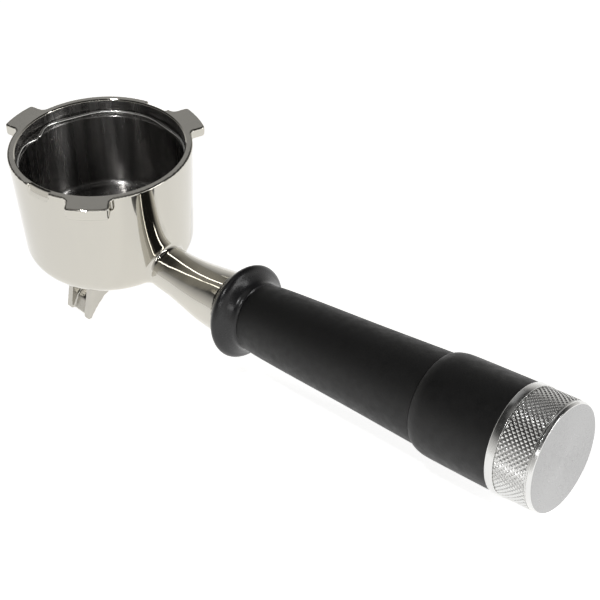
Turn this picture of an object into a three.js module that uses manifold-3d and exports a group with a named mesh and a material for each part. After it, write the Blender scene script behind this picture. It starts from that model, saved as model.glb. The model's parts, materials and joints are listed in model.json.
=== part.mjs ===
// Espresso portafilter of the 58 mm class: a forged cup with three locking lugs, a twin spout and a
// rubber handle clamped on a tie rod. Millimetres, +Z up.
//
// The pieces are drawn in the cup's own frame: Z is the cup's axis, Z = 0 is the top of the rim, and the
// handle leaves along +X. Handle pieces are drawn along their own Z, the handle's axis, from where it
// crosses the cup's axis. The whole is then tilted the way it lies on a table, on its spout and end cap.

import * as THREE from 'three';
import { mergeVertices } from 'three/addons/utils/BufferGeometryUtils.js';
import Module from 'manifold-3d';

const wasm = await Module();
wasm.setup();

// ---------------------------------------------------------------- driving dimensions

const GAP = 0.3;              // left between pieces that touch
const CUP_ROUND = 72;         // sides of the cup
const ROUND = 48;             // sides of the large round pieces
const SMALL_ROUND = 24;       // sides of the small round pieces

// Cup
const RIM_R = 35;
const BORE_R = 32.1;          // takes the 58 mm class filter basket
const CUP_TAPER = 0.04;       // radius lost per mm below the rim
const CUP_HEIGHT = 49.5;
const CUP_DEPTH = 41;
const CORNER_R = 9;
const FLOOR_FILLET = 2.5;
const DRAIN_R = 5;
const BOSS_R = 8.33;          // G 3/8 thread for the spout
const BOSS_LENGTH = 7;

// Lugs and notches of the rim
const LUG_R = 41.1;
const LUG_WIDTH = 16;
const LUG_HEIGHT = 5;
const LUG_ANGLES = [-48, 72, 192];
const LUG_RAMP = 2.5;
const NOTCH_R = 33.3;
const NOTCH_DEPTH = 4.2;
const NOTCH_ANGLES = [98, 278];
const NOTCH_WIDTH = 16;       // degrees

// Basket spring
const SPRING_Z = -5.5;
const SPRING_R = 31.9;
const SPRING_WIRE = 0.75;
const SPRING_GAP_ANGLE = 197; // degrees, where the wire's two ends meet
const GROOVE_R = 33.1;
const GROOVE_HEIGHT = 2.4;

// Spout
const GASKET = 1.4;
const SOCKET_R = 11.5;
const SOCKET_BOTTOM = -57.4;
const SPOUT_HALF_WIDTH = 6.6;
const CHANNEL_HALF_WIDTH = 4;
const SPOUT_TIP_Y = 21.4;
const SPOUT_TIP_Z = -72.3;

// Handle: positions along its axis, from the cup's axis
const HANDLE_RISE = 9.5;      // degrees, against the plane of the rim
const HANDLE_Z = -50.6;       // where its axis crosses the cup's axis
const NECK_END = 71.4;
const SPIGOT_R = 7;
const SPIGOT_END = 84;
const ROD_R = 5;
const ROD_START = 62;
const ROD_END = 206;
const HEAT_WASHER = 1.5;
const HEAT_WASHER_R = 10.5;
const COLLAR_START = NECK_END + GAP;
const COLLAR_END = 84.6;
const COLLAR_R = 17.9;
const COLLAR_AT = 77.8;       // its widest place
const CORE_R = 10.5;
const CORE_START = 76.6;
const CORE_END = 168;
const PIN_R = 1.5;
const PIN_AT = 80;
const SLEEVE_START = 166;
const SLEEVE_END = 196.7;
const SLEEVE_R = 18.45;
const CARRIER_R = 15.6;
const CARRIER_BORE = 12;
const CARRIER_WEB = 3;
const NUT_FLATS = 17;         // M10 hexagon
const NUT_HEIGHT = 8;
const CAP_START = 197;
const CAP_END = 213;
const CAP_BAND_R = 18.8;
const KNURL_R = 18.5;
const CAP_FACE_R = 17.8;
const INSERT_R = 8;
const ORING_R = 13.6;
const ORING_WIRE = 1;

// ---------------------------------------------------------------- helpers

const radians = THREE.MathUtils.degToRad;

// A closed three.js geometry as a manifold solid with its faces pointing out.
function solid(geometry) {
  const bare = geometry.index ? geometry.toNonIndexed() : geometry.clone();
  bare.deleteAttribute('normal');
  bare.deleteAttribute('uv');
  const merged = mergeVertices(bare, 1e-4);
  const vertProperties = new Float32Array(merged.attributes.position.array);
  const corner = (i) => new THREE.Vector3().fromArray(vertProperties, 3 * i);
  const triangles = [];
  let volume = 0;
  for (let i = 0; i < merged.index.count; i += 3) {
    const [a, b, c] = [0, 1, 2].map((k) => merged.index.getX(i + k));
    if (a === b || b === c || c === a) continue;
    triangles.push([a, b, c]);
    volume += corner(a).dot(corner(b).cross(corner(c)));
  }
  const facingOut = volume > 0 ? triangles : triangles.map(([a, b, c]) => [a, c, b]);
  const triVerts = new Uint32Array(facingOut.flat());
  return new wasm.Manifold(new wasm.Mesh({ numProp: 3, vertProperties, triVerts }));
}

function geometryOf(manifold) {
  const mesh = manifold.getMesh();
  const geometry = new THREE.BufferGeometry();
  geometry.setAttribute('position', new THREE.BufferAttribute(new Float32Array(mesh.vertProperties), 3));
  geometry.setIndex(new THREE.BufferAttribute(new Uint32Array(mesh.triVerts), 1));
  geometry.computeVertexNormals();
  return geometry;
}

// A profile of [radius, height] points, turned about Z. It ends on the axis or closes on itself.
function revolve(profile, sides = ROUND) {
  const points = profile.map(([r, z]) => new THREE.Vector2(r, z));
  return solid(new THREE.LatheGeometry(points, sides).rotateX(Math.PI / 2));
}

function ring(inner, outer, low, high, sides = ROUND) {
  return revolve([[inner, low], [outer, low], [outer, high], [inner, high], [inner, low]], sides);
}

function rod(radius, low, high, sides = SMALL_ROUND) {
  return revolve([[0, low], [radius, low], [radius, high], [0, high]], sides);
}

// Points of an arc about [r, z], from one angle to another, both included.
function arc(r, z, radius, from, to, steps = 6) {
  return Array.from({ length: steps + 1 }, (_, i) => {
    const a = radians(from + ((to - from) * i) / steps);
    return [r + radius * Math.cos(a), z + radius * Math.sin(a)];
  });
}

// An outline of [x, y] points as a prism between two heights.
function prism(outline, low, high) {
  const shape = new THREE.Shape(outline.map(([x, y]) => new THREE.Vector2(x, y)));
  const geometry = new THREE.ExtrudeGeometry(shape, { depth: high - low, bevelEnabled: false });
  return solid(geometry.translate(0, 0, low));
}

// An outline of [y, z] points as a prism between two places along X.
function outward(outline, low, high) {
  return prism(outline, low, high).rotate([90, 0, 90]);
}

// A solid of the handle's frame, moved into the cup's frame.
function fromHandle(manifold) {
  return manifold.rotate([0, 90 - HANDLE_RISE, 0]).translate([0, 0, HANDLE_Z]);
}

// ---------------------------------------------------------------- forged body

function cupBlank() {
  const cornerZ = CORNER_R - CUP_HEIGHT;
  const cornerX = RIM_R + CUP_TAPER * cornerZ - CORNER_R;
  const corner = arc(cornerX, cornerZ, CORNER_R, -90, 0, 6);
  return revolve([[0, -CUP_HEIGHT], ...corner, [RIM_R, -0.4], [RIM_R - 0.4, 0], [0, 0]], CUP_ROUND);
}

function cupBore() {
  const fillet = arc(BORE_R - FLOOR_FILLET, FLOOR_FILLET - CUP_DEPTH, FLOOR_FILLET, 0, -90, 4);
  return revolve([
    [0, 5], [BORE_R + 0.4, 5], [BORE_R + 0.4, 0], [BORE_R, -0.4], ...fillet, [0, -CUP_DEPTH],
  ], CUP_ROUND);
}

// One lug, seen from outside: its lower leading corner is rounded, so that it runs into the group.
function lug(angle) {
  const half = LUG_WIDTH / 2;
  const face = [
    [-half, 0], ...arc(LUG_RAMP - half, LUG_RAMP - LUG_HEIGHT, LUG_RAMP, 180, 270, 3),
    [half - 1, -LUG_HEIGHT], [half, 1 - LUG_HEIGHT], [half, 0],
  ];
  const band = ring(RIM_R - 2, LUG_R, -LUG_HEIGHT, 0, CUP_ROUND);
  return outward(face, 0, LUG_R + 1).intersect(band).rotate([0, 0, angle]);
}

// A sloped bite out of the rim's outer edge, between two angles.
function notch(angle) {
  const outside = RIM_R + 2;
  const slope = revolve([[NOTCH_R, 1], [outside, 1], [outside, -NOTCH_DEPTH], [NOTCH_R, 0], [NOTCH_R, 1]]);
  const reach = 2 * RIM_R;
  const side = (a) => [reach * Math.cos(radians(a)), reach * Math.sin(radians(a))];
  const wedge = prism([[0, 0], side(-NOTCH_WIDTH / 2), side(NOTCH_WIDTH / 2)], -2 * NOTCH_DEPTH, 2);
  return wedge.intersect(slope).rotate([0, 0, angle]);
}

// The neck: one round bar, forged onto the lower wall of the cup, that grows towards the handle.
// x, z: its centre line, in the plane of the handle; tall, wide: its half sizes in and across that plane
const NECK = [
  { x: 28, z: -41, tall: 8.3, wide: 8.5 },
  { x: 36, z: -41.1, tall: 8.7, wide: 8.9 },
  { x: 44, z: -41, tall: 9.1, wide: 9.3 },
  { x: 52, z: -40.9, tall: 10.1, wide: 10.3 },
  { x: 60, z: -40.4, tall: 11.3, wide: 11.4 },
  { x: 73, z: -38.4, tall: 12.4, wide: 12.4 },
];

function neck() {
  const line = new THREE.CatmullRomCurve3(NECK.map((s) => new THREE.Vector3(s.x, 0, s.z)));
  const size = new THREE.CatmullRomCurve3(NECK.map((s) => new THREE.Vector3(s.tall, s.wide, 0)));
  const bar = new THREE.CylinderGeometry(1, 1, 1, 30, 15);
  const points = bar.attributes.position;
  for (let i = 0; i < points.count; i += 1) {
    const t = 0.5 - points.getY(i);
    const centre = line.getPoint(t);
    const along = line.getTangent(t);
    const half = size.getPoint(t);
    const out = points.getX(i) * half.x;
    const x = centre.x - along.z * out;
    const z = centre.z + along.x * out;
    points.setXYZ(i, x, points.getZ(i) * half.y, z);
  }
  return solid(bar);
}

function portafilterBody() {
  const cutEnd = fromHandle(ring(SPIGOT_R, 30, NECK_END, NECK_END + 20));
  const spigot = fromHandle(rod(SPIGOT_R, NECK_END - 4, SPIGOT_END));
  const rodHole = fromHandle(rod(ROD_R + GAP, ROD_START - 1.5, SPIGOT_END + 1));
  const pinHole = fromHandle(rod(PIN_R + GAP, -SPIGOT_R - 2, SPIGOT_R + 2, 16).rotate([90, 0, 0])
    .translate([0, 0, PIN_AT]));
  const boss = rod(BOSS_R, -CUP_HEIGHT - BOSS_LENGTH, -CUP_HEIGHT + 2, SMALL_ROUND);
  const drain = rod(DRAIN_R, -CUP_HEIGHT - BOSS_LENGTH - 1, 1 - CUP_DEPTH);
  const grooveLow = SPRING_Z - GROOVE_HEIGHT / 2;
  const groove = ring(BORE_R - 1, GROOVE_R, grooveLow, grooveLow + GROOVE_HEIGHT, CUP_ROUND);
  let body = cupBlank().add(neck().subtract(cutEnd)).add(spigot).add(boss);
  for (const angle of LUG_ANGLES) body = body.add(lug(angle));
  for (const angle of NOTCH_ANGLES) body = body.subtract(notch(angle));
  for (const cut of [cupBore(), groove, drain, rodHole, pinHole]) body = body.subtract(cut);
  return body;
}

// How far a stretch of the wire, half an angle wide to each side, pulls inward.
function dip(away, half, depth) {
  return Math.abs(away) < half ? depth * Math.cos((away / half) * (Math.PI / 2)) ** 2 : 0;
}

// The wire lies in its groove, pulls inward along two flats, and its two ends are bent inward.
function basketSpring() {
  const flats = [160, 84];
  const flatHalf = 24;
  const flatDepth = 1.2;
  const endHalf = 16;
  const endDepth = 2.8;
  const open = 2.2;
  const turns = 60;
  const points = [];
  for (let i = 0; i <= turns; i += 1) {
    const away = open + ((360 - 2 * open) * i) / turns;
    const angle = SPRING_GAP_ANGLE + away;
    let inward = dip(Math.min(away, 360 - away), endHalf, endDepth);
    for (const flat of flats) inward += dip(((angle - flat + 540) % 360) - 180, flatHalf, flatDepth);
    const r = SPRING_R - Math.min(inward, endDepth);
    points.push(new THREE.Vector3(r * Math.cos(radians(angle)), r * Math.sin(radians(angle)), SPRING_Z));
  }
  const wire = new THREE.Shape().absarc(0, 0, SPRING_WIRE, 0, 2 * Math.PI);
  const path = new THREE.CatmullRomCurve3(points);
  return solid(new THREE.ExtrudeGeometry(wire, { curveSegments: 3, steps: turns, extrudePath: path }));
}

// ---------------------------------------------------------------- spout

function spoutGasket() {
  const top = -CUP_HEIGHT - GAP;
  return ring(BOSS_R + GAP, SOCKET_R, top - GASKET, top, SMALL_ROUND);
}

// Open channels to either side of the socket. Outlines are [y, z] of one half, mirrored.
function doubleSpout() {
  const socketTop = -CUP_HEIGHT - GASKET - 2 * GAP;
  const mirrored = (half) => [...half, ...half.map(([y, z]) => [-y, z]).reverse()];
  const arms = outward(mirrored([
    [0, -63], [6, -63.2], [11.3, -64.6], [16, -68.4], [19.2, SPOUT_TIP_Z + 0.2],
    [SPOUT_TIP_Y - 0.8, SPOUT_TIP_Z], [SPOUT_TIP_Y, SPOUT_TIP_Z + 1.2], [18.3, -58], [16.4, -54], [14, -52.6],
    [0, -52.6],
  ]), -SPOUT_HALF_WIDTH, SPOUT_HALF_WIDTH);
  const channel = outward(mirrored([
    [0, -60.6], [6, -61], [12, -62.6], [17.2, -66.8], [20.2, -73], [30, -73], [30, -50], [12.6, -50],
    [12.6, SOCKET_BOTTOM], [0, SOCKET_BOTTOM],
  ]), -CHANNEL_HALF_WIDTH, CHANNEL_HALF_WIDTH);
  const socket = rod(SOCKET_R, SOCKET_BOTTOM - 1, socketTop, ROUND);
  const bore = rod(BOSS_R + GAP, SOCKET_BOTTOM - 0.1, 0);
  return arms.add(socket).subtract(channel).subtract(bore);
}

// ---------------------------------------------------------------- handle

const between = (points, steps) => new THREE.SplineCurve(points.map(([r, s]) => new THREE.Vector2(r, s)))
  .getPoints(steps).map((p) => [p.x, p.y]);

function heatWasher() {
  return ring(SPIGOT_R + GAP, HEAT_WASHER_R, COLLAR_START, COLLAR_START + HEAT_WASHER);
}

// A thin guard flange, with a pocket for the washer, a bore for the spigot and a counterbore for the core.
function frontCollar() {
  const outside = between([
    [12, COLLAR_START], [13.4, 72.6], [15.4, 74.8], [17.2, 76.3], [COLLAR_R, COLLAR_AT], [17.2, 79.3],
    [15.2, 80.8], [13.4, 82.6], [12.7, COLLAR_END],
  ], 14);
  const pocketR = HEAT_WASHER_R + GAP;
  const pocketEnd = COLLAR_START + HEAT_WASHER + GAP;
  return revolve([
    [pocketR, COLLAR_START], ...outside, [CORE_R + GAP, COLLAR_END], [CORE_R + GAP, CORE_START - GAP],
    [SPIGOT_R + GAP, CORE_START - GAP], [SPIGOT_R + GAP, pocketEnd], [pocketR, pocketEnd],
    [pocketR, COLLAR_START],
  ]);
}

function rubberGrip() {
  const start = COLLAR_END + GAP;
  const end = SLEEVE_START - GAP;
  const outside = between([
    [12.7, start], [13, 87.6], [13.5, 93], [14, 109], [15, 134], [16, 156], [16.4, end],
  ], 8);
  return revolve([[CORE_R + GAP, start], ...outside, [CORE_R + GAP, end], [CORE_R + GAP, start]]);
}

function gripCore() {
  const pinHole = rod(PIN_R + GAP, -CORE_R - 1, CORE_R + 1, 16).rotate([90, 0, 0]).translate([0, 0, PIN_AT]);
  return ring(SPIGOT_R + GAP, CORE_R, CORE_START, CORE_END).subtract(pinHole);
}

// A drive pin through the core into the spigot, on one side of the tie rod.
function drivePin(side) {
  const pin = rod(PIN_R, ROD_R + 0.6, CORE_R - 0.2, 16).rotate([-90, 0, 0]);
  return pin.rotate([0, 0, side > 0 ? 0 : 180]).translate([0, 0, PIN_AT]);
}

function frontBush() {
  return ring(ROD_R + GAP, SPIGOT_R, 118, 126, SMALL_ROUND);
}

function tieRod() {
  const chamfer = 0.8;
  return revolve([
    [0, ROD_START], [ROD_R - chamfer, ROD_START], [ROD_R, ROD_START + chamfer], [ROD_R, ROD_END - chamfer],
    [ROD_R - chamfer, ROD_END], [0, ROD_END],
  ], SMALL_ROUND);
}

function rearSleeve() {
  const outside = between([
    [16.6, SLEEVE_START], [17.4, SLEEVE_START + 1.4], [17.9, SLEEVE_START + 3.2], [18.15, SLEEVE_START + 5.6],
    [18.3, 183], [SLEEVE_R, SLEEVE_END - 0.5],
  ], 7);
  const bore = CARRIER_R + GAP;
  const wallEnd = CORE_END;
  return revolve([
    [CORE_R + GAP, SLEEVE_START], ...outside, [SLEEVE_R - 0.4, SLEEVE_END], [bore, SLEEVE_END],
    [bore, wallEnd], [CORE_R + GAP, wallEnd], [CORE_R + GAP, SLEEVE_START],
  ]);
}

const CARRIER_START = CORE_END + GAP;
const CARRIER_END = 195.6;
const WASHER_START = CARRIER_START + CARRIER_WEB + GAP;
const WASHER = 1.5;
const LOCK_START = WASHER_START + WASHER + GAP;
const LOCK = 1.2;
const NUT_START = LOCK_START + LOCK + GAP;

function sleeveCarrier() {
  const hole = ROD_R + GAP;
  const webEnd = CARRIER_START + CARRIER_WEB;
  return revolve([
    [hole, CARRIER_START], [CARRIER_R, CARRIER_START], [CARRIER_R, CARRIER_END], [CARRIER_BORE, CARRIER_END],
    [CARRIER_BORE, webEnd], [hole, webEnd], [hole, CARRIER_START],
  ]);
}

function rearWasher() {
  return ring(ROD_R + GAP, 10, WASHER_START, WASHER_START + WASHER, SMALL_ROUND);
}

// A conical spring washer: its rim is higher than its bore.
function lockWasher() {
  const thick = 0.8;
  const dish = LOCK - thick;
  return revolve([
    [ROD_R + GAP, LOCK_START + dish], [9, LOCK_START], [9, LOCK_START + thick],
    [ROD_R + GAP, LOCK_START + LOCK], [ROD_R + GAP, LOCK_START + dish],
  ], SMALL_ROUND);
}

function clampNut() {
  const corner = NUT_FLATS / Math.sqrt(3);
  const hexagon = Array.from({ length: 6 }, (_, i) => {
    const a = radians(60 * i);
    return [corner * Math.cos(a), corner * Math.sin(a)];
  });
  const bore = rod(ROD_R + GAP, NUT_START - 1, NUT_START + NUT_HEIGHT + 1);
  return prism(hexagon, NUT_START, NUT_START + NUT_HEIGHT).subtract(bore);
}

// Plain band, band for the knurl, chamfer and flat end, with a spigot that centres it in the carrier.
function endCap() {
  const spigotR = CARRIER_BORE - GAP - 0.1;
  const spigotBore = INSERT_R + 1.2;
  const spigotStart = CAP_START - 6;
  const boreR = INSERT_R + GAP;
  const boreEnd = 208.6;
  const grooveIn = ORING_R - ORING_WIRE - GAP;
  const grooveOut = ORING_R + ORING_WIRE + GAP;
  const grooveEnd = CAP_START + 1.3;
  return revolve([
    [0, boreEnd], [boreR, boreEnd], [boreR, grooveEnd], [spigotBore, grooveEnd], [spigotBore, spigotStart],
    [spigotR, spigotStart], [spigotR, CAP_START], [grooveIn, CAP_START], [grooveIn, grooveEnd],
    [grooveOut, grooveEnd], [grooveOut, CAP_START], [CAP_BAND_R - 0.4, CAP_START],
    [CAP_BAND_R, CAP_START + 0.4], [CAP_BAND_R, CAP_START + 2.8], [KNURL_R, CAP_START + 3.1],
    [KNURL_R, CAP_END - 1.1], [CAP_FACE_R, CAP_END - 0.4], [CAP_FACE_R - 0.3, CAP_END], [0, CAP_END],
  ]);
}

function capInsert() {
  return ring(ROD_R + GAP, INSERT_R, CAP_START + 2, 208.3, SMALL_ROUND);
}

function capOring() {
  const wire = arc(ORING_R, CAP_START - 0.1, ORING_WIRE, 0, 360, 8);
  return revolve(wire, 32);
}

// ---------------------------------------------------------------- assembly

const finish = (color, metalness, roughness) => ({ color, metalness, roughness });
const CHROME = finish(0xd2ccc2, 1, 0.08);
const STEEL = finish(0xb9bcc0, 1, 0.35);
const BRASS = finish(0xb79a55, 1, 0.35);
const ALUMINIUM = finish(0xc6c7c8, 1, 0.25);
const RUBBER = finish(0x1b1b1b, 0, 0.75);
const GLOSS_BLACK = finish(0x141414, 0, 0.3);
const PLASTIC = finish(0x2a2a2a, 0, 0.55);
const FIBRE = finish(0x7a3b2e, 0, 0.8);

function piece(name, manifold, look) {
  const mesh = new THREE.Mesh(geometryOf(manifold), new THREE.MeshStandardMaterial(look));
  mesh.name = name;
  return mesh;
}

const handle = new THREE.Group();
handle.position.z = HANDLE_Z;
handle.rotation.y = radians(90 - HANDLE_RISE);
handle.add(
  piece('heat_washer', heatWasher(), FIBRE),
  piece('front_collar', frontCollar(), GLOSS_BLACK),
  piece('rubber_grip', rubberGrip(), RUBBER),
  piece('grip_core', gripCore(), PLASTIC),
  piece('drive_pin_left', drivePin(1), STEEL),
  piece('drive_pin_right', drivePin(-1), STEEL),
  piece('front_bush', frontBush(), PLASTIC),
  piece('tie_rod', tieRod(), STEEL),
  piece('rear_sleeve', rearSleeve(), RUBBER),
  piece('sleeve_carrier', sleeveCarrier(), PLASTIC),
  piece('rear_washer', rearWasher(), STEEL),
  piece('lock_washer', lockWasher(), STEEL),
  piece('clamp_nut', clampNut(), STEEL),
  piece('end_cap', endCap(), ALUMINIUM),
  piece('cap_insert', capInsert(), BRASS),
  piece('cap_oring', capOring(), RUBBER),
);

const portafilter = new THREE.Group();
portafilter.add(
  piece('portafilter_body', portafilterBody(), CHROME),
  piece('basket_spring', basketSpring(), STEEL),
  piece('spout_gasket', spoutGasket(), FIBRE),
  piece('double_spout', doubleSpout(), CHROME),
  handle,
);

// Tilt that brings the end cap's band down to the level of the spout's tips.
const bandPoint = new THREE.Vector3(CAP_BAND_R, 0, CAP_START + 1.6);
bandPoint.applyEuler(handle.rotation).add(handle.position);
const tilt = Math.atan2(bandPoint.z - SPOUT_TIP_Z, bandPoint.x - SPOUT_HALF_WIDTH);
portafilter.rotation.y = tilt;

// The origin is on the table, under the middle of the object.
const standing = new THREE.Box3().setFromObject(portafilter, true);
const middle = standing.getCenter(new THREE.Vector3());
portafilter.position.set(-middle.x, -middle.y, -standing.min.z);

export default portafilter;
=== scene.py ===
"""The looks of an espresso portafilter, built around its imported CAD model.

Every piece is drawn in millimetres, in one of two frames that come from the joints of the model: the cup's
frame (Z up the cup's axis, zero at the rim, the handle towards +X) and the handle's frame (Z along the
handle, zero where its axis crosses the cup's). new_object() turns millimetres into metres, and
finish_piece() puts a piece in the model's own frame.
"""

import json
import math

import bmesh
import bpy
import numpy as np
from mathutils import Matrix, Vector


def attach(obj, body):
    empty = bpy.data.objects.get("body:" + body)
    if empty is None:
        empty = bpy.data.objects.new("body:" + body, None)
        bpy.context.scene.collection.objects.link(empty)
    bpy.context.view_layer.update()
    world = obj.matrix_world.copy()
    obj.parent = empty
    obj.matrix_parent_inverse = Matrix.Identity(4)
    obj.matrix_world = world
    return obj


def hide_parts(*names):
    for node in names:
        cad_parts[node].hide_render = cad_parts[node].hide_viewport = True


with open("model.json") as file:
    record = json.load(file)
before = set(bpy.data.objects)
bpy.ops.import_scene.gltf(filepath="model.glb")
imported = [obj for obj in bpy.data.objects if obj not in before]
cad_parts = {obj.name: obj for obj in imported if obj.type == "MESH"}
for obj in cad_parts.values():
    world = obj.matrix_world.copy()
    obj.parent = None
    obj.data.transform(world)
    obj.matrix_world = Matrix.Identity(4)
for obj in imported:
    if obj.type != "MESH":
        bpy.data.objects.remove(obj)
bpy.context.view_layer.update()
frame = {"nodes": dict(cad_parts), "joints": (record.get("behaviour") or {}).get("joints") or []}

MM = 0.001
ROOT = "handle_and_cup"

# ------------------------------------------------------------------ the two frames

SPOUT_JOINT_DEPTH = 54.0   # the spout's joint, below the rim
CAP_JOINT_AT = 200.0       # the cap's joint, along the handle

joints = {joint["name"]: joint for joint in frame["joints"]}


def axis_frame(origin, z_axis):
    """A frame at origin with its Z along z_axis and its Y level."""
    z = Vector(z_axis).normalized()
    y = Vector((0, 1, 0))
    matrix = Matrix((y.cross(z), y, z)).transposed().to_4x4()
    matrix.translation = origin
    return matrix


cup_up = -Vector(joints["spout_turn"]["axis"])
rim_centre = Vector(joints["spout_turn"]["pos_m"]) + cup_up * SPOUT_JOINT_DEPTH * MM
CUP = axis_frame(rim_centre, cup_up)

handle_out = Vector(joints["cap_turn"]["axis"])
handle_start = Vector(joints["cap_turn"]["pos_m"]) - handle_out * CAP_JOINT_AT * MM
HANDLE = axis_frame(handle_start, handle_out)
HANDLE_IN_CUP = CUP.inverted() @ HANDLE
CUP_TILT = math.atan2(cup_up.x, cup_up.z)

# ------------------------------------------------------------------ sizes, in millimetres

RIM_R = 35.0
BORE_R = 32.1
LOWER_BORE_R = 31.6
CUP_TAPER = 0.04
CUP_HEIGHT = 49.5
CUP_DEPTH = 41.0
CORNER_R = 9.0
DRAIN_R = 5.0
GROOVE_R = 33.0
SPRING_Z = -5.5
SPRING_R = 31.9
SPRING_WIRE = 0.75
BOSS_R = 8.33
BOSS_PITCH = 25.4 / 19
LUG_R = 41.1
LUG_HALF_WIDTH = 8.0
LUG_HEIGHT = 5.0
LUG_ANGLES = (-48, 72, 192)
NOTCH_ANGLES = (98, 278)
NOTCH_R = 33.3
NECK_END = 71.4
SPIGOT_R = 7.0
SPIGOT_END = 84.0
ROD_R = 5.0
ROD_PITCH = 1.5
GAP = 0.3
COLLAR_R = 17.9
COLLAR_START = NECK_END + GAP
COLLAR_END = 84.6
CORE_HOLE_R = 10.8
SLEEVE_START = 166.0
SLEEVE_WALL_END = 168.0
SLEEVE_END = 196.7
CAP_START = 197.0
CAP_END = 213.0
CAP_BAND_R = 18.8
KNURL_R = 18.5
KNURL_COUNT = 64
KNURL_DEPTH = 0.42
KNURL_CUTS = 6   # pieces of mesh across one diamond

# ------------------------------------------------------------------ mesh helpers


def new_object(name, points, faces, place=None):
    """A closed mesh from points in millimetres, merged and facing out."""
    mesh = bpy.data.meshes.new(name)
    mesh.from_pydata([tuple(p) for p in np.asarray(points, float) * MM], [], faces)
    bm = bmesh.new()
    bm.from_mesh(mesh)
    bmesh.ops.remove_doubles(bm, verts=bm.verts, dist=1e-7)
    bmesh.ops.dissolve_degenerate(bm, edges=bm.edges, dist=1e-8)
    bmesh.ops.recalc_face_normals(bm, faces=bm.faces)
    bm.to_mesh(mesh)
    bm.free()
    obj = bpy.data.objects.new(name, mesh)
    bpy.context.scene.collection.objects.link(obj)
    if place is not None:
        obj.matrix_world = place
    return obj


def smooth(obj, angle=32):
    mesh = obj.data
    mesh.polygons.foreach_set("use_smooth", [True] * len(mesh.polygons))
    mesh.set_sharp_from_angle(angle=math.radians(angle))


def finish_piece(obj, body, slot, *materials, replaces=()):
    """Puts a piece in the model's own frame, on its body, with its materials. slot is not used."""
    obj.data.transform(obj.matrix_world)
    obj.matrix_world = Matrix()
    for made in materials:
        obj.data.materials.append(made)
    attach(obj, body)
    if replaces:
        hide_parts(*replaces)
    return obj


def grid_faces(rows, columns):
    """Quads of a grid of points that closes on itself along its columns."""
    faces = []
    for i in range(rows - 1):
        for j in range(columns):
            a = i * columns + j
            b = i * columns + (j + 1) % columns
            faces.append((a, b, b + columns, a + columns))
    return faces


def turn(profile, sides=192, shape=None):
    """Points and faces of a profile of (radius, height) turned about Z.

    The profile ends on the axis or closes on itself. shape(radii, angles, height, row) may change the
    radii of a row.
    """
    angles = np.linspace(0, 2 * math.pi, sides, endpoint=False)
    rows = []
    for row, (radius, height) in enumerate(profile):
        radii = np.full(sides, radius, float)
        if shape is not None:
            radii = shape(radii, angles, height, row)
        rows.append(np.c_[radii * np.cos(angles), radii * np.sin(angles), np.full(sides, height)])
    return np.concatenate(rows), grid_faces(len(rows), sides)


def rounded(corners, steps=6):
    """A profile whose corners (radius, height, rounding) are replaced by arcs."""
    points = [np.array(c[:2], float) for c in corners]
    out = []
    for i, corner in enumerate(corners):
        here = points[i]
        r = corner[2] if len(corner) > 2 else 0
        if not r or i in (0, len(corners) - 1):
            out.append(tuple(here))
            continue
        before = points[i - 1] - here
        after = points[i + 1] - here
        before /= np.linalg.norm(before)
        after /= np.linalg.norm(after)
        half = math.acos(np.clip(before @ after, -1, 1)) / 2
        start = here + before * r / math.tan(half)
        centre = here + (before + after) / np.linalg.norm(before + after) * r / math.sin(half)
        end = here + after * r / math.tan(half)
        for k in range(steps + 1):
            w = k / steps
            along = (start * (1 - w) + end * w) - centre
            out.append(tuple(centre + along / np.linalg.norm(along) * r))
    return out


def spline(points, steps):
    """A smooth line through the points (Catmull-Rom), with steps pieces between each two of them."""
    p = np.array(points, float)
    p = np.vstack([2 * p[0] - p[1], p, 2 * p[-1] - p[-2]])
    out = []
    for i in range(1, len(p) - 2):
        for k in range(steps):
            t = k / steps
            a = 2 * p[i]
            b = p[i + 1] - p[i - 1]
            c = 2 * p[i - 1] - 5 * p[i] + 4 * p[i + 1] - p[i + 2]
            d = 3 * p[i] - p[i - 1] - 3 * p[i + 1] + p[i + 2]
            out.append((a + b * t + c * t * t + d * t ** 3) / 2)
    out.append(p[-2])
    return np.array(out)


def apply_modifiers(obj):
    bpy.context.view_layer.update()
    evaluated = obj.evaluated_get(bpy.context.evaluated_depsgraph_get())
    mesh = bpy.data.meshes.new_from_object(evaluated)
    obj.modifiers.clear()
    obj.data = mesh


def cut(obj, *cutters):
    """Cuts the cutters out of obj, and removes them."""
    for cutter in cutters:
        change = obj.modifiers.new("cut", "BOOLEAN")
        change.operation = "DIFFERENCE"
        change.solver = "EXACT"
        change.object = cutter
    apply_modifiers(obj)
    for cutter in cutters:
        bpy.data.objects.remove(cutter)


# ------------------------------------------------------------------ smooth solids from distances
#
# A field gives the distance of points to a solid's surface, negative inside. Solids are joined and cut
# with round edges, and skin() lays a mesh on the surface.


def round_and(a, b, radius):
    """The part that two solids share, with its outer edges rounded."""
    edge = np.hypot(np.maximum(a + radius, 0), np.maximum(b + radius, 0))
    return np.minimum(np.maximum(a, b) + radius, 0) + edge - radius


def round_or(a, b, radius):
    """Two solids joined, with a fillet where they meet."""
    return -round_and(-a, -b, radius)


def slopes(field, points, reach):
    """Unit normals of a field at points, and its values there, from four samples around each."""
    total = np.zeros_like(points)
    value = np.zeros(len(points))
    for way in ((1, -1, -1), (-1, -1, 1), (-1, 1, -1), (1, 1, 1)):
        way = np.array(way, float)
        sample = field(points + reach * way)
        total += sample[:, None] * way
        value += sample / 4
    size = np.linalg.norm(total, axis=1)
    return total / size[:, None], value * 4 * reach / size


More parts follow.
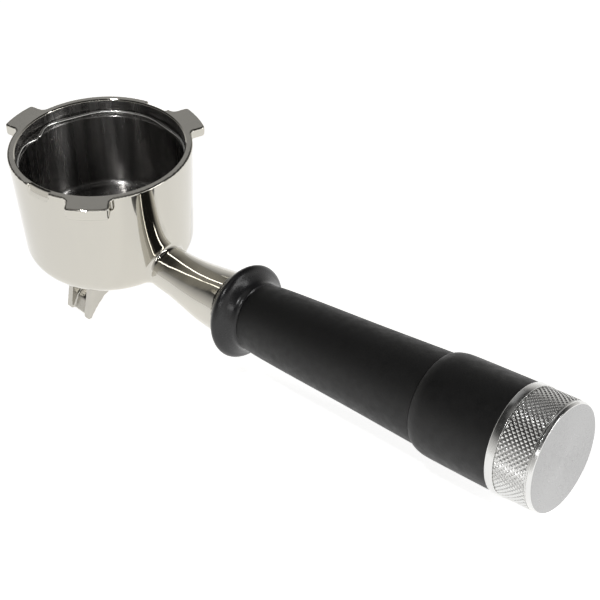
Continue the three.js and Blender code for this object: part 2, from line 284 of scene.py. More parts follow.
def sample_near_surface(field, low, shape, step, block=4):
    """Values of a field on a lattice: exact near the surface, and only the sign of the block elsewhere."""
    value = np.empty(shape)
    starts = [np.arange(0, n, block) for n in shape]
    corners = np.stack(np.meshgrid(*starts, indexing="ij"), axis=-1).reshape(-1, 3)
    middle = field(np.array(low) + step * (corners + (block - 1) / 2))
    near = np.abs(middle) < 2.2 * block * step
    far = np.where(middle < 0, -1.0, 1.0)
    offsets = np.argwhere(np.ones((block, block, block)))
    for corner, sign in zip(corners[~near], far[~near]):
        i, j, k = corner
        value[i:i + block, j:j + block, k:k + block] = sign
    cells = (corners[near][:, None] + offsets[None]).reshape(-1, 3)
    cells = cells[(cells < np.array(shape)).all(1)]
    value[tuple(cells.T)] = field(np.array(low) + step * cells)
    return value


def skin(field, low, high, step, relax=3):
    """Points and quads on the surface of a field, evenly spread."""
    shape = tuple(int((b - a) / step) + 2 for a, b in zip(low, high))
    value = sample_near_surface(field, low, shape, step)
    inside = value < 0
    corners = [(i, j, k) for i in (0, 1) for j in (0, 1) for k in (0, 1)]
    count = sum(
        inside[i:inside.shape[0] - 1 + i, j:inside.shape[1] - 1 + j, k:inside.shape[2] - 1 + k].astype(int)
        for i, j, k in corners
    )
    mixed = (count > 0) & (count < 8)
    index = np.full(mixed.shape, -1)
    index[mixed] = np.arange(mixed.sum())
    cells = np.argwhere(mixed)
    total = np.zeros((len(cells), 3))
    hits = np.zeros(len(cells))
    for axis in range(3):
        for corner in corners:
            if corner[axis]:
                continue
            far = list(corner)
            far[axis] = 1
            here = value[tuple((cells + corner).T)]
            there = value[tuple((cells + far).T)]
            crosses = (here < 0) != (there < 0)
            point = np.tile(np.array(corner, float), (len(cells), 1))
            point[crosses, axis] += (here / np.where(crosses, here - there, 1))[crosses]
            total[crosses] += point[crosses]
            hits[crosses] += 1
    points = np.array(low) + step * (cells + total / hits[:, None])
    quads = []
    for axis in range(3):
        solid = np.moveaxis(inside, axis, 0)
        cell = np.moveaxis(index, axis, 0)
        changes = solid[:-1, 1:-1, 1:-1] != solid[1:, 1:-1, 1:-1]
        i, j, k = np.argwhere(changes).T
        quads.append(np.c_[cell[i, j, k], cell[i, j + 1, k], cell[i, j + 1, k + 1], cell[i, j, k + 1]])
    quads = np.concatenate(quads)
    edges = np.concatenate([quads[:, [a, (a + 1) % 4]] for a in range(4)])
    reach = step / 4
    for _ in range(relax):
        total = np.zeros_like(points)
        hits = np.zeros(len(points))
        np.add.at(total, edges[:, 0], points[edges[:, 1]])
        np.add.at(total, edges[:, 1], points[edges[:, 0]])
        np.add.at(hits, edges[:, 0], 1)
        np.add.at(hits, edges[:, 1], 1)
        pull = total / hits[:, None] - points
        normal, _ = slopes(field, points, reach)
        points = points + 0.5 * (pull - normal * (pull * normal).sum(1)[:, None])
        for _ in range(2):
            normal, off = slopes(field, points, reach)
            points = points - normal * off[:, None]
    normal, _ = slopes(field, points, reach)
    corner = points[quads]
    facing = np.cross(corner[:, 2] - corner[:, 0], corner[:, 3] - corner[:, 1])
    wrong = (facing * normal[quads[:, 0]]).sum(1) < 0
    quads[wrong] = quads[wrong][:, ::-1]
    return points, quads


def use_field_normals(obj, field, near=0.06, agree=0.9):
    """Gives obj the exact normals of the field wherever its surface lies on it."""
    mesh = obj.data
    points = np.empty(len(mesh.vertices) * 3)
    mesh.vertices.foreach_get("co", points)
    points = points.reshape(-1, 3) / MM
    normal, off = slopes(field, points, 0.08)
    corner_vertex = np.empty(len(mesh.loops), int)
    mesh.loops.foreach_get("vertex_index", corner_vertex)
    own = np.empty(len(mesh.loops) * 3)
    mesh.corner_normals.foreach_get("vector", own)
    own = own.reshape(-1, 3)
    exact = normal[corner_vertex]
    face_sizes = np.empty(len(mesh.polygons), int)
    mesh.polygons.foreach_get("loop_total", face_sizes)
    face_normals = np.empty(len(mesh.polygons) * 3)
    mesh.polygons.foreach_get("normal", face_normals)
    face_of_corner = np.repeat(face_normals.reshape(-1, 3), face_sizes, axis=0)
    fits = (np.abs(off[corner_vertex]) < near) & ((exact * face_of_corner).sum(1) > agree)
    own[fits] = exact[fits]
    mesh.normals_split_custom_set(own.tolist())


# ------------------------------------------------------------------ materials


def material(name, color, metallic=0.0, roughness=0.5, specular=0.5):
    made = bpy.data.materials.new(name)
    made.use_nodes = True
    shader = made.node_tree.nodes["Principled BSDF"]
    shader.inputs["Base Color"].default_value = (*color, 1)
    shader.inputs["Metallic"].default_value = metallic
    shader.inputs["Roughness"].default_value = roughness
    shader.inputs["Specular IOR Level"].default_value = specular
    return made


def node(made, kind, **values):
    made_node = made.node_tree.nodes.new(kind)
    for key, value in values.items():
        if key in made_node.inputs:
            made_node.inputs[key].default_value = value
        else:
            setattr(made_node, key, value)
    return made_node


def link(made, source, output, target, socket):
    made.node_tree.links.new(source.outputs[output], target.inputs[socket])


def noise(made, scale, detail=4.0, roughness=0.5, stretch=1.0):
    """Noise in space, scale in cells per metre. stretch draws its cells out along the cup's axis."""
    where = node(made, "ShaderNodeTexCoord")
    mapping = node(made, "ShaderNodeMapping", vector_type="TEXTURE", Rotation=(0, CUP_TILT, 0),
                   Scale=(1, 1, stretch))
    texture = node(made, "ShaderNodeTexNoise", Scale=scale, Detail=detail, Roughness=roughness)
    link(made, where, "Object", mapping, "Vector")
    link(made, mapping, "Vector", texture, "Vector")
    return texture


NOISE_RANGE = (0.3, 0.7)   # most values of a noise texture lie between these
MIX_LOW, MIX_HIGH, MIX_RESULT = 6, 7, 2   # the colour sockets of a mix node


def vary_roughness(made, texture, low, high):
    ramp = node(made, "ShaderNodeMapRange")
    ramp.inputs["From Min"].default_value = NOISE_RANGE[0]
    ramp.inputs["From Max"].default_value = NOISE_RANGE[1]
    ramp.inputs["To Min"].default_value = low
    ramp.inputs["To Max"].default_value = high
    link(made, texture, "Fac", ramp, "Value")
    link(made, ramp, "Result", made.node_tree.nodes["Principled BSDF"], "Roughness")


def vary_color(made, texture, low, high):
    mix = node(made, "ShaderNodeMix", data_type="RGBA")
    mix.inputs[MIX_LOW].default_value = (*low, 1)
    mix.inputs[MIX_HIGH].default_value = (*high, 1)
    link(made, texture, "Fac", mix, 0)
    link(made, mix, MIX_RESULT, made.node_tree.nodes["Principled BSDF"], "Base Color")


def add_bump(made, texture, depth):
    """Relief of the given depth in metres."""
    bump = node(made, "ShaderNodeBump", Strength=1.0, Distance=depth)
    link(made, texture, "Fac", bump, "Height")
    link(made, bump, "Normal", made.node_tree.nodes["Principled BSDF"], "Normal")


def brush_along(made, way, amount):
    """Highlights stretched along one direction, across the marks of turning."""
    direction = node(made, "ShaderNodeCombineXYZ", X=way.x, Y=way.y, Z=way.z)
    shader = made.node_tree.nodes["Principled BSDF"]
    shader.inputs["Anisotropic"].default_value = amount
    link(made, direction, "Vector", shader, "Tangent")


def brush_from(made, centre, amount):
    """Highlights stretched away from a centre, across the rings that a lathe leaves on a flat face."""
    where = node(made, "ShaderNodeTexCoord")
    away = node(made, "ShaderNodeVectorMath", operation="SUBTRACT")
    away.inputs[1].default_value = centre
    shader = made.node_tree.nodes["Principled BSDF"]
    shader.inputs["Anisotropic"].default_value = amount
    link(made, where, "Object", away, 0)
    link(made, away, "Vector", shader, "Tangent")


def polished_chrome(name, color, roughness, waviness):
    made = material(name, color, metallic=1.0, roughness=roughness)
    vary_roughness(made, noise(made, 90, detail=6, roughness=0.65), roughness * 0.7, roughness * 1.7)
    add_bump(made, noise(made, 55, detail=2, stretch=2), waviness)
    return made


def satin_metal(name, color, roughness, grain):
    made = material(name, color, metallic=1.0, roughness=roughness)
    vary_roughness(made, noise(made, 900, detail=5), roughness * 0.85, roughness * 1.2)
    add_bump(made, noise(made, 5000, detail=3), grain)
    return made


RUBBER_GRAIN = 0.00006   # metres


def rubber(name, color, worn, roughness):
    made = material(name, color, roughness=roughness, specular=0.35)
    vary_color(made, noise(made, 40, detail=6, roughness=0.6), color, worn)
    vary_roughness(made, noise(made, 350, detail=5), roughness - 0.06, roughness + 0.08)
    add_bump(made, noise(made, 2600, detail=4, roughness=0.6), RUBBER_GRAIN)
    return made


CHROME = polished_chrome("chrome", (0.55, 0.53, 0.48), 0.045, 0.00001)
# soft bands drawn out along the cup's axis in the chrome's colour: painted reflection bands
vary_color(CHROME, noise(CHROME, 60, detail=3, stretch=8), (0.52, 0.505, 0.465), (0.58, 0.56, 0.50))
CHROME_TOP = satin_metal("turned_chrome", (0.60, 0.58, 0.53), 0.2, 0.000003)
CHROME_SPOUT = polished_chrome("spout_chrome", (0.48, 0.465, 0.425), 0.16, 0.00003)
# The inside of the cup: the same chrome painted darker as painted shade, with streaks from black to light
# drawn out along the axis as painted reflections. Only the anisotropy stands for the real marks of
# turning.
SHADED_CUP_INSIDE = material("turned_cup_inside_painted_shade", (0.22, 0.215, 0.21), metallic=1.0, roughness=0.3)
painted_reflection_streaks = noise(SHADED_CUP_INSIDE, 110, detail=5, roughness=0.7, stretch=60)
vary_color(SHADED_CUP_INSIDE, painted_reflection_streaks, (0.0, 0.0, 0.0), (0.66, 0.645, 0.63))
vary_roughness(SHADED_CUP_INSIDE, noise(SHADED_CUP_INSIDE, 300, detail=4, stretch=20), 0.2, 0.3)
brush_along(SHADED_CUP_INSIDE, cup_up, 0.95)
SPRING_STEEL = polished_chrome("spring_steel", (0.72, 0.72, 0.70), 0.16, 0.000005)
STEEL = satin_metal("zinc_steel", (0.58, 0.59, 0.60), 0.32, 0.00001)
BRASS = satin_metal("brass", (0.72, 0.55, 0.24), 0.28, 0.00001)
FIBRE = rubber("seal_fibre", (0.30, 0.11, 0.07), (0.38, 0.16, 0.10), 0.72)
COLLAR = material("collar_plastic", (0.012, 0.012, 0.013), roughness=0.24, specular=0.5)
vary_roughness(COLLAR, noise(COLLAR, 220, detail=6), 0.2, 0.34)
add_bump(COLLAR, noise(COLLAR, 420, detail=3), 0.00002)
GRIP = rubber("grip_rubber", (0.007, 0.007, 0.007), (0.011, 0.011, 0.011), 0.5)
SLEEVE = rubber("sleeve_rubber", (0.006, 0.006, 0.006), (0.010, 0.010, 0.010), 0.46)
NYLON = rubber("core_nylon", (0.03, 0.03, 0.03), (0.045, 0.045, 0.045), 0.5)
NITRILE = rubber("nitrile", (0.012, 0.012, 0.012), (0.02, 0.02, 0.02), 0.4)
CAP = satin_metal("knurled_aluminium", (0.72, 0.72, 0.71), 0.22, 0.000002)
# The cap's end face: the cap's own aluminium painted much darker, a painted shade that tones down its
# light. Its rings of turning are real and stand as anisotropy.
SHADED_CAP_FACE = satin_metal("turned_aluminium_painted_shade", (0.41, 0.41, 0.41), 0.24, 0.000001)
brush_from(SHADED_CAP_FACE, handle_start + handle_out * CAP_END * MM, 0.8)

# ------------------------------------------------------------------ forged body: cup, lugs and neck

# x, z: the centre line of the neck; tall, wide: its half sizes in and across the handle's plane
NECK = (
    (28, -41, 8.3, 8.5), (36, -41.1, 8.7, 8.9), (44, -41, 9.1, 9.3), (52, -40.9, 10.1, 10.3),
    (60, -40.4, 11.3, 11.4), (68, -39.22, 12.1, 12.1), (76, -37.88, 12.6, 12.6),
)
NECK_FILLET = 1.8
NECK_PIECES = 24
NECK_REACH = 30.0   # the distance given wherever the neck is far away
neck_line = spline(NECK, NECK_PIECES)


def cup_field(p):
    wall = np.hypot(p[:, 0], p[:, 1]) - (RIM_R + CUP_TAPER * p[:, 2])
    return round_and(wall, -(p[:, 2] + CUP_HEIGHT), CORNER_R)


def neck_field(p):
    """Distance to the bar along neck_line, worked out only near it."""
    out = np.full(len(p), NECK_REACH)
    near = np.flatnonzero((p[:, 0] > 18) & (np.abs(p[:, 1]) < 20))
    x, y, z = p[near].T
    best = np.full(len(near), NECK_REACH)
    for a, b in zip(neck_line[:-1], neck_line[1:]):
        ab = b - a
        t = np.clip(((x - a[0]) * ab[0] + (z - a[1]) * ab[1]) / (ab[0] ** 2 + ab[1] ** 2), 0, 1)
        tall = a[2] + ab[2] * t
        wide = a[3] + ab[3] * t
        off = np.hypot(x - a[0] - ab[0] * t, z - a[1] - ab[1] * t)
        size = np.hypot(off / tall, y / wide) + 1e-9
        slope = np.hypot(off / tall ** 2, y / wide ** 2) + 1e-9
        best = np.minimum(best, size * (size - 1) / slope)
    out[near] = best
    return out


def lug_field(p, angle):
    """One locking lug. Its lower leading corner is well rounded."""
    c, s = math.cos(math.radians(angle)), math.sin(math.radians(angle))
    outward = c * p[:, 0] + s * p[:, 1]
    along = c * p[:, 1] - s * p[:, 0]
    below = -(p[:, 2] + LUG_HEIGHT)
    leading = round_and(-along - LUG_HALF_WIDTH, below, 2.5)
    trailing = round_and(along - LUG_HALF_WIDTH, below, 1.2)
    sides = np.maximum(leading, trailing)
    body = round_and(sides, np.hypot(p[:, 0], p[:, 1]) - LUG_R, 1.1)
    return np.maximum(body, 25 - outward)


def notch_field(p, angle):
    """A shallow bite out of the outer edge of the rim, with round ends."""
    c, s = math.cos(math.radians(angle)), math.sin(math.radians(angle))
    outward = c * p[:, 0] + s * p[:, 1]
    along = c * p[:, 1] - s * p[:, 0]
    radius = np.hypot(p[:, 0], p[:, 1])
    floor = -4.2 - p[:, 2]
    ends = np.abs(along) - 4.8
    slope = (NOTCH_R - radius) - 0.38 * p[:, 2]
    bite = round_and(round_and(floor, ends, 1.2), slope, 0.6)
    return np.maximum(bite, 25 - outward)


HANDLE_AXIS = np.array(HANDLE_IN_CUP.to_3x3().col[2])
HANDLE_ORIGIN = np.array(HANDLE_IN_CUP.translation) / MM
LUG_FILLET = 1.6
NOTCH_EDGE = 0.6
RIM_EDGE = 0.7
SPIGOT_MIDDLE = 74


def body_field(p):
    field = cup_field(p)
    for angle in LUG_ANGLES:
        field = round_or(field, lug_field(p, angle), LUG_FILLET)
    away = p - HANDLE_ORIGIN
    along = away @ HANDLE_AXIS
    neck = round_and(neck_field(p), along - NECK_END, 0.5)
    field = round_or(field, neck, NECK_FILLET)
    for angle in NOTCH_ANGLES:
        field = round_and(field, -notch_field(p, angle), NOTCH_EDGE)
    field = round_and(field, p[:, 2], RIM_EDGE)
    from_axis = np.linalg.norm(away - along[:, None] * HANDLE_AXIS, axis=1)
    spigot = np.maximum(from_axis - SPIGOT_R, np.abs(along - SPIGOT_MIDDLE) - (SPIGOT_END - SPIGOT_MIDDLE))
    return np.minimum(field, spigot)


def body_interior():
    """What is bored out of the cup: the room for the basket, the spring's groove and the drain."""
    groove = 1.15
    profile = rounded([
        (0, -62), (DRAIN_R, -62),
        (DRAIN_R, -CUP_DEPTH - 0.3, 0.5), (DRAIN_R + 1.5, -CUP_DEPTH + 0.25, 0.8),
        (LOWER_BORE_R, -CUP_DEPTH + 0.6, 2.6), (LOWER_BORE_R, SPRING_Z - groove - 1, 0.3),
        (BORE_R - 0.2, SPRING_Z - groove - 0.8, 0.2), (BORE_R - 0.2, SPRING_Z - groove, 0.2),
        (GROOVE_R, SPRING_Z - groove, 0.4), (GROOVE_R, SPRING_Z + groove, 0.4),
        (BORE_R, SPRING_Z + groove, 0.2), (BORE_R, -0.45, 0.3), (BORE_R + 0.6, 0.1),
        (BORE_R + 0.6, 6), (0, 6),
    ])
    return new_object("interior", *turn(profile, 288), CUP)


def threaded(radius, bore, low, high, pitch, depth, sides=96, per_turn=8, fade=1.2):
    """A ring with an outside thread: rows of points down the outside, then straight back up the bore."""
    rows = int((high - low) / pitch * per_turn)

    def thread(radii, angles, height, row):
        if row > rows:
            return radii
        wave = np.abs(((height / pitch - angles / (2 * math.pi)) % 1) * 2 - 1)
        fading = np.clip(min(height - low, high - height) / fade, 0, 1)
        return radii - depth * np.clip(wave * 1.2 - 0.1, 0, 1) * fading - 0.4 * (1 - fading)

    outside = [(radius, low + (high - low) * k / rows) for k in range(rows + 1)]
    profile = outside + [(bore, high), (bore, low), outside[0]]
    points, faces = turn(profile[:-1], sides, thread)
    last = (len(profile) - 2) * sides
    closing = [(last + j, last + (j + 1) % sides, (j + 1) % sides, j) for j in range(sides)]
    return points, faces + closing


BODY_STEP = 0.58   # finer would pass 200,000 triangles
CHROME_SIDE, CHROME_UPPER, CHROME_INSIDE = 0, 1, 2   # the body's materials, in their order


def build_body():
    step = BODY_STEP
    low = (-43.0, -43.0, -51.0)
    high = (86.0, 43.0, 1.5)
    points, quads = skin(body_field, low, high, step)
    body = new_object("forged_body", points, quads.tolist(), CUP)
    hole_r = ROD_R + GAP
    rod_hole = new_object("rod_hole", *turn([(0, 60), (hole_r, 60), (hole_r, 90), (0, 90)], 64), HANDLE)
    cut(body, body_interior(), rod_hole)
    smooth(body, 30)
    use_field_normals(body, body_field)
    for face in body.data.polygons:
        middle = face.center / MM
        inside = math.hypot(middle.x, middle.y) < GROOVE_R + 0.1 and -CUP_DEPTH - 1 < middle.z < -0.5
        if inside:
            face.material_index = CHROME_INSIDE
        elif face.normal.z > 0.97 and middle.z > -0.2:
            face.material_index = CHROME_UPPER
        else:
            face.material_index = CHROME_SIDE
    body_materials = (CHROME, CHROME_TOP, SHADED_CUP_INSIDE)
    finish_piece(body, ROOT, "chrome_forging", *body_materials, replaces=["portafilter_body"])
    points, faces = threaded(BOSS_R, DRAIN_R, -CUP_HEIGHT - 7.0, -CUP_HEIGHT + 1.5, BOSS_PITCH, 0.75)
    boss = new_object("threaded_boss", points, faces, CUP)
    smooth(boss, 40)
    finish_piece(boss, ROOT, "chrome_forging", CHROME)


# ------------------------------------------------------------------ basket spring


SPRING_FLATS = ((160, 24), (84, 24))   # the middle and half width of each flattened stretch, in degrees
SPRING_FLAT_DEPTH = 1.2
SPRING_ENDS_AT = 197                   # the gap between the two ends, in degrees
SPRING_GAP_HALF = 2.2
SPRING_BENT = 16                       # how far the bent-in ends reach, in degrees
SPRING_BEND_DEPTH = 2.8


def build_spring():
    steps = 260
    line = []
    for i in range(steps + 1):
        away = SPRING_GAP_HALF + (360 - 2 * SPRING_GAP_HALF) * i / steps
        angle = SPRING_ENDS_AT + away
        inward = 0
        for middle, half in SPRING_FLATS:
            offset = (angle - middle + 540) % 360 - 180
            if abs(offset) < half:
                inward += SPRING_FLAT_DEPTH * math.cos(offset / half * math.pi / 2) ** 2
        to_end = min(away, 360 - away)
        if to_end < SPRING_BENT:
            inward += SPRING_BEND_DEPTH * math.cos(to_end / SPRING_BENT * math.pi / 2) ** 2
        radius = SPRING_R - min(inward, SPRING_BEND_DEPTH)
        way = math.radians(angle)
        line.append((radius * math.cos(way), radius * math.sin(way), SPRING_Z))
    line = np.array(line)
    sides = 14
    tangents = np.gradient(line, axis=0)
    tangents /= np.linalg.norm(tangents, axis=1)[:, None]
    up = np.array((0.0, 0.0, 1.0))
    across = np.cross(up, tangents)
    angles = np.linspace(0, 2 * math.pi, sides, endpoint=False)
    rows = []
    for middle, side in zip(line, across):
        ring = np.cos(angles)[:, None] * side + np.sin(angles)[:, None] * up
        rows.append(middle + SPRING_WIRE * ring)
    for end, sign in ((0, -1), (-1, 1)):
        caps = []
        for lift, shrink in ((0.45, 0.85), (0.68, 0.45), (0.75, 0.02)):
            middle = line[end] + sign * lift * tangents[end]
            ring = np.cos(angles)[:, None] * across[end] + np.sin(angles)[:, None] * up
            caps.append(middle + SPRING_WIRE * shrink * ring)
        rows = caps[::-1] + rows if end == 0 else rows + caps
    points = np.concatenate(rows)
    faces = grid_faces(len(rows), sides)
    faces.append(tuple(range(sides)))
    faces.append(tuple(range(len(points) - sides, len(points))))
    spring = new_object("basket_spring_wire", points, faces, CUP)
    smooth(spring, 50)
    finish_piece(spring, ROOT, "spring_steel", SPRING_STEEL, replaces=["basket_spring"])


# ------------------------------------------------------------------ spout


def build_spout():
    """The cast spout: the model's own solid with its edges softened as in a casting."""
    spout = bpy.data.objects.new("cast_spout", frame["nodes"]["double_spout"].data.copy())
    bpy.context.scene.collection.objects.link(spout)
    spout.data.materials.clear()
    remesh = spout.modifiers.new("even", "REMESH")
    remesh.mode = "VOXEL"
    remesh.voxel_size = 0.36 * MM
    soften = spout.modifiers.new("soften", "SMOOTH")
    soften.factor = 0.5
    soften.iterations = 7
    apply_modifiers(spout)
    spout.data.transform(CUP.inverted())
    spout.matrix_world = CUP
    smooth(spout, 60)
    finish_piece(spout, "spout", "chrome_spout", CHROME_SPOUT, replaces=["double_spout"])


# ------------------------------------------------------------------ handle


def build_moulding(name, outside, inside, slot, made, node_name):
    """A turned moulding of the handle, from its outside line and then its inside, back to the start."""
    start = (CORE_HOLE_R, outside[0][1])
    profile = [start] + [tuple(p) for p in outside] + inside + [start]
    moulding = new_object(name, *turn(profile, 160), HANDLE)
    smooth(moulding, 40)
    finish_piece(moulding, ROOT, slot, made, replaces=[node_name])


def build_collar():
    bore = SPIGOT_R + GAP
    outside = spline([
        (12.3, COLLAR_START), (13.3, 72.4), (15.3, 74.6), (17.1, 76.2), (COLLAR_R, 77.8), (17.2, 79.3),
        (15.3, 80.7), (13.6, 82.4), (12.9, 84.0), (12.3, COLLAR_END),
    ], 8)
    inside = [
        (CORE_HOLE_R, COLLAR_END), (CORE_HOLE_R, 76.3), (bore, 76.3), (bore, 73.5), (CORE_HOLE_R, 73.5),
    ]
    build_moulding("guard_collar", outside, inside, "collar_plastic", COLLAR, "front_collar")


def build_grip():
    start = COLLAR_END + GAP
    end = SLEEVE_START - 0.12
    outside = spline([
        (12.2, start), (12.75, start + 0.35), (12.95, 87), (13.35, 91), (13.75, 99), (14.25, 112),
        (14.75, 127), (15.3, 141), (15.78, 152), (16.08, 159), (16.27, 163.5), (16.35, end),
    ], 6)
    build_moulding("moulded_grip", outside, [(CORE_HOLE_R, end)], "grip_rubber", GRIP, "rubber_grip")


def build_sleeve():
    bore = 15.9
    outside = spline([
        (16.4, SLEEVE_START + 0.02), (16.85, SLEEVE_START + 0.5), (17.35, SLEEVE_START + 1.5),
        (17.8, SLEEVE_START + 3.1), (18.02, SLEEVE_START + 4.8), (18.14, SLEEVE_START + 7.5),
        (18.25, 180), (18.35, 188), (18.42, SLEEVE_END - 0.4), (18.2, SLEEVE_END),
    ], 5)
    inside = [(bore, SLEEVE_END), (bore, SLEEVE_WALL_END), (CORE_HOLE_R, SLEEVE_WALL_END)]
    build_moulding("moulded_sleeve", outside, inside, "sleeve_rubber", SLEEVE, "rear_sleeve")


def build_cap():
    knurl_low, knurl_high = CAP_START + 3.3, CAP_END - 2.1
    pitch = 2 * math.pi * KNURL_R / KNURL_COUNT
    knurl_rows = int((knurl_high - knurl_low) / pitch * KNURL_CUTS)
    floor = 198.3
    band = rounded([
        (9.2, floor), (9.2, 191, 0.3), (11.6, 191, 0.5), (11.6, CAP_START),
        (12.3, CAP_START), (12.3, floor), (14.9, floor), (14.9, CAP_START),
        (CAP_BAND_R, CAP_START, 0.35), (CAP_BAND_R, knurl_low - 0.35, 0.15),
        (KNURL_R - 0.45, knurl_low - 0.3, 0.1), (KNURL_R - 0.45, knurl_low),
    ], 4)
    knurl_heights = [knurl_low + (knurl_high - knurl_low) * k / knurl_rows for k in range(knurl_rows + 1)]
    knurled = [(KNURL_R, height) for height in knurl_heights]
    face = rounded([
        (KNURL_R - 0.5, knurl_high), (KNURL_R - 0.55, knurl_high + 0.35, 0.1),
        (KNURL_R - 0.15, knurl_high + 0.7, 0.1), (KNURL_R - 0.1, CAP_END - 1.0, 0.2),
        (17.95, CAP_END, 0.5), (17.0, CAP_END), (8, CAP_END), (0, CAP_END),
    ], 4)
    inside = [(0, 208.6), (8.3, 208.6), (8.3, floor)]
    profile = inside + band + knurled + face
    first, last = len(inside) + len(band), len(inside) + len(band) + len(knurled) - 1

    def diamonds(radii, angles, height, row):
        if not first <= row <= last:
            return radii
        along = (height - knurl_low) / pitch
        around = angles / (2 * math.pi) * KNURL_COUNT
        one = np.abs(((around + along) % 1) * 2 - 1)
        other = np.abs(((around - along) % 1) * 2 - 1)
        groove = np.maximum(one, other)
        return radii - KNURL_DEPTH * np.clip(groove * 1.25 - 0.3, 0, 1)

    cap = new_object("knurled_cap", *turn(profile, KNURL_COUNT * KNURL_CUTS, diamonds), HANDLE)
    smooth(cap, 24)
    for face in cap.data.polygons:
        # the flat end face gets the darker copy of the aluminium, painted shade
        face.material_index = int(face.normal.z > 0.99 and face.center.z > (CAP_END - 0.1) * MM)
    finish_piece(cap, "cap", "cap_metal", CAP, SHADED_CAP_FACE, replaces=["end_cap"])


def build_tie_rod():
    points, faces = threaded(ROD_R, 0.05, 62, 206, ROD_PITCH, 0.85, sides=40, per_turn=6)
    rod = new_object("threaded_tie_rod", points, faces, HANDLE)
    smooth(rod, 50)
    finish_piece(rod, ROOT, "steel", STEEL, replaces=["tie_rod"])


def dress(name, made):
    """Gives a piece that is kept as it is in the model its material."""
    obj = frame["nodes"][name]
    obj.data.materials.clear()
    obj.data.materials.append(made)


KEPT_PIECES = {
    "spout_gasket": FIBRE,
    "heat_washer": FIBRE,
    "grip_core": NYLON,
    "front_bush": NYLON,
    "sleeve_carrier": NYLON,
    "drive_pin_left": STEEL,
    "drive_pin_right": STEEL,
    "rear_washer": STEEL,
    "lock_washer": STEEL,
    "clamp_nut": STEEL,
    "cap_insert": BRASS,
    "cap_oring": NITRILE,
}


build_body()
build_spring()
build_spout()
build_collar()
build_grip()
build_sleeve()
build_cap()
build_tie_rod()
for piece_name, piece_material in KEPT_PIECES.items():
    dress(piece_name, piece_material)

# ------------------------------------------------------------------ camera

# degrees, and millimetres in the cup's frame
VIEW_AZIMUTH = 41.646
VIEW_ELEVATION = 41.551
VIEW_ROLL = 0.952
VIEW_DISTANCE = 455.62
VIEW_AIM = (76.745, -57.595)   # to the right and up from the rim's centre, seen from the camera
LENS = 72
SENSOR = 36


def build_camera():
    azimuth, elevation = math.radians(VIEW_AZIMUTH), math.radians(VIEW_ELEVATION)
    back = Vector((math.sin(azimuth) * math.cos(elevation), -math.cos(azimuth) * math.cos(elevation),
                   math.sin(elevation)))
    right = Vector((math.cos(azimuth), math.sin(azimuth), 0))
    up = back.cross(right)
    aim = right * VIEW_AIM[0] + up * VIEW_AIM[1]
    roll = math.radians(VIEW_ROLL)
    rolled_right = right * math.cos(roll) + up * math.sin(roll)
    rolled_up = up * math.cos(roll) - right * math.sin(roll)
    place = Matrix((rolled_right, rolled_up, back)).transposed().to_4x4()
    place.translation = (aim + back * VIEW_DISTANCE) * MM
    data = bpy.data.cameras.new("camera")
    data.lens = LENS
    data.sensor_width = SENSOR
    data.clip_start = 0.02
    camera = bpy.data.objects.new("camera", data)
    bpy.context.scene.collection.objects.link(camera)
    camera.matrix_world = CUP @ place
    bpy.context.scene.camera = camera


build_camera()

# ------------------------------------------------------------------ studio


FLOOR_HALF = 3.0
FLOOR_Z = -0.006


def build_floor():
    """A pale sheet, low enough for the spout to be unscrewed above it."""
    mesh = bpy.data.meshes.new("floor")
    corners = [(x * FLOOR_HALF, y * FLOOR_HALF, FLOOR_Z) for x, y in ((-1, -1), (1, -1), (1, 1), (-1, 1))]
    mesh.from_pydata(corners, [], [(0, 1, 2, 3)])
    floor = bpy.data.objects.new("floor", mesh)
    bpy.context.scene.collection.objects.link(floor)
    made = material("floor_paper", (0.9, 0.895, 0.885), roughness=0.9, specular=0.1)
    shader = made.node_tree.nodes["Principled BSDF"]
    shader.inputs["Emission Color"].default_value = (1, 1, 1, 1)
    shader.inputs["Emission Strength"].default_value = 0.8
    mesh.materials.append(made)


LIGHTS_AIM = Vector((0.0, 0.0, 0.03))


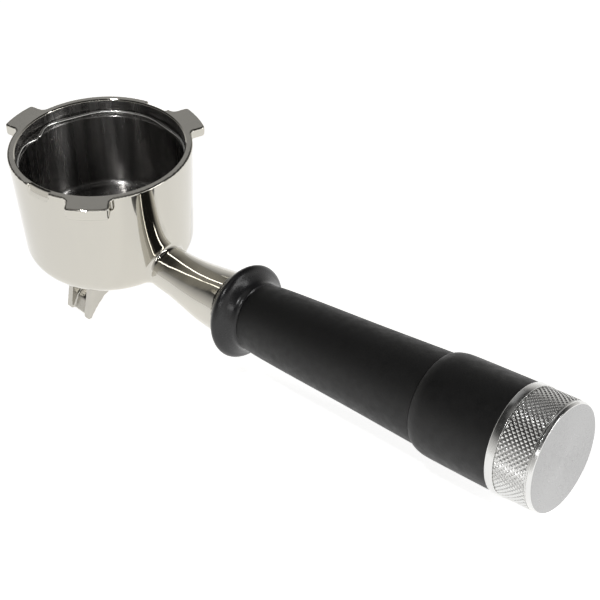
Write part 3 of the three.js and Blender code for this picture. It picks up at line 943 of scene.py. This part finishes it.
def softbox(name, bearing, elevation, distance, length, breadth, radiance):
    """A long area light aimed at the object, its length along the handle as far as it can be.

    bearing is in degrees from the handle's direction, anticlockwise seen from above. Every point of the
    light looks as bright as radiance says, however large the light is.
    """
    turned = math.radians(bearing)
    high = math.radians(elevation)
    way = Vector((math.cos(turned) * math.cos(high), math.sin(turned) * math.cos(high), math.sin(high)))
    across = way.cross(handle_out).normalized()
    data = bpy.data.lights.new(name, "AREA")
    data.shape = "RECTANGLE"
    data.size = length
    data.size_y = breadth
    data.energy = radiance * math.pi * length * breadth
    light = bpy.data.objects.new(name, data)
    place = Matrix((across.cross(way), across, way)).transposed().to_4x4()
    place.translation = LIGHTS_AIM + way * distance
    light.matrix_world = place
    bpy.context.scene.collection.objects.link(light)


# the sine of the height above the horizon, and how bright the room is there
ROOM_LEVELS = ((0.0, 0.9), (0.17, 0.73), (0.38, 0.42), (0.5, 0.12), (0.6, 0.025), (0.9, 0.02), (1.0, 0.35))


def build_world():
    """A pale horizon that darkens upwards to a dim ceiling, like a room around a lit table."""
    world = bpy.data.worlds.new("room")
    bpy.context.scene.world = world
    world.use_nodes = True
    nodes = world.node_tree.nodes
    links = world.node_tree.links
    where = nodes.new("ShaderNodeTexCoord")
    split = nodes.new("ShaderNodeSeparateXYZ")
    ramp = nodes.new("ShaderNodeValToRGB")
    links.new(where.outputs["Generated"], split.inputs[0])
    links.new(split.outputs["Z"], ramp.inputs[0])
    links.new(ramp.outputs[0], nodes["Background"].inputs["Color"])
    ramp.color_ramp.elements[0].position = ROOM_LEVELS[0][0]
    ramp.color_ramp.elements[1].position = ROOM_LEVELS[-1][0]
    for position, _ in ROOM_LEVELS[1:-1]:
        ramp.color_ramp.elements.new(position)
    for element, (_, level) in zip(ramp.color_ramp.elements, ROOM_LEVELS):
        element.color = (level, level * 0.985, level * 0.96, 1)
    nodes["Background"].inputs["Strength"].default_value = 1.0


build_floor()
build_world()
softbox("neck_line", 20, 27, 1.2, 0.95, 0.12, 7.0)
softbox("neck_second_line", -45, 27, 1.2, 0.8, 0.07, 6.0)
softbox("back_wall", 140, 44, 2.4, 0.9, 1.5, 0.34)
softbox("lamp_ahead", -62, 60, 1.3, 0.08, 0.08, 130)
bpy.context.scene.view_settings.view_transform = "Standard"
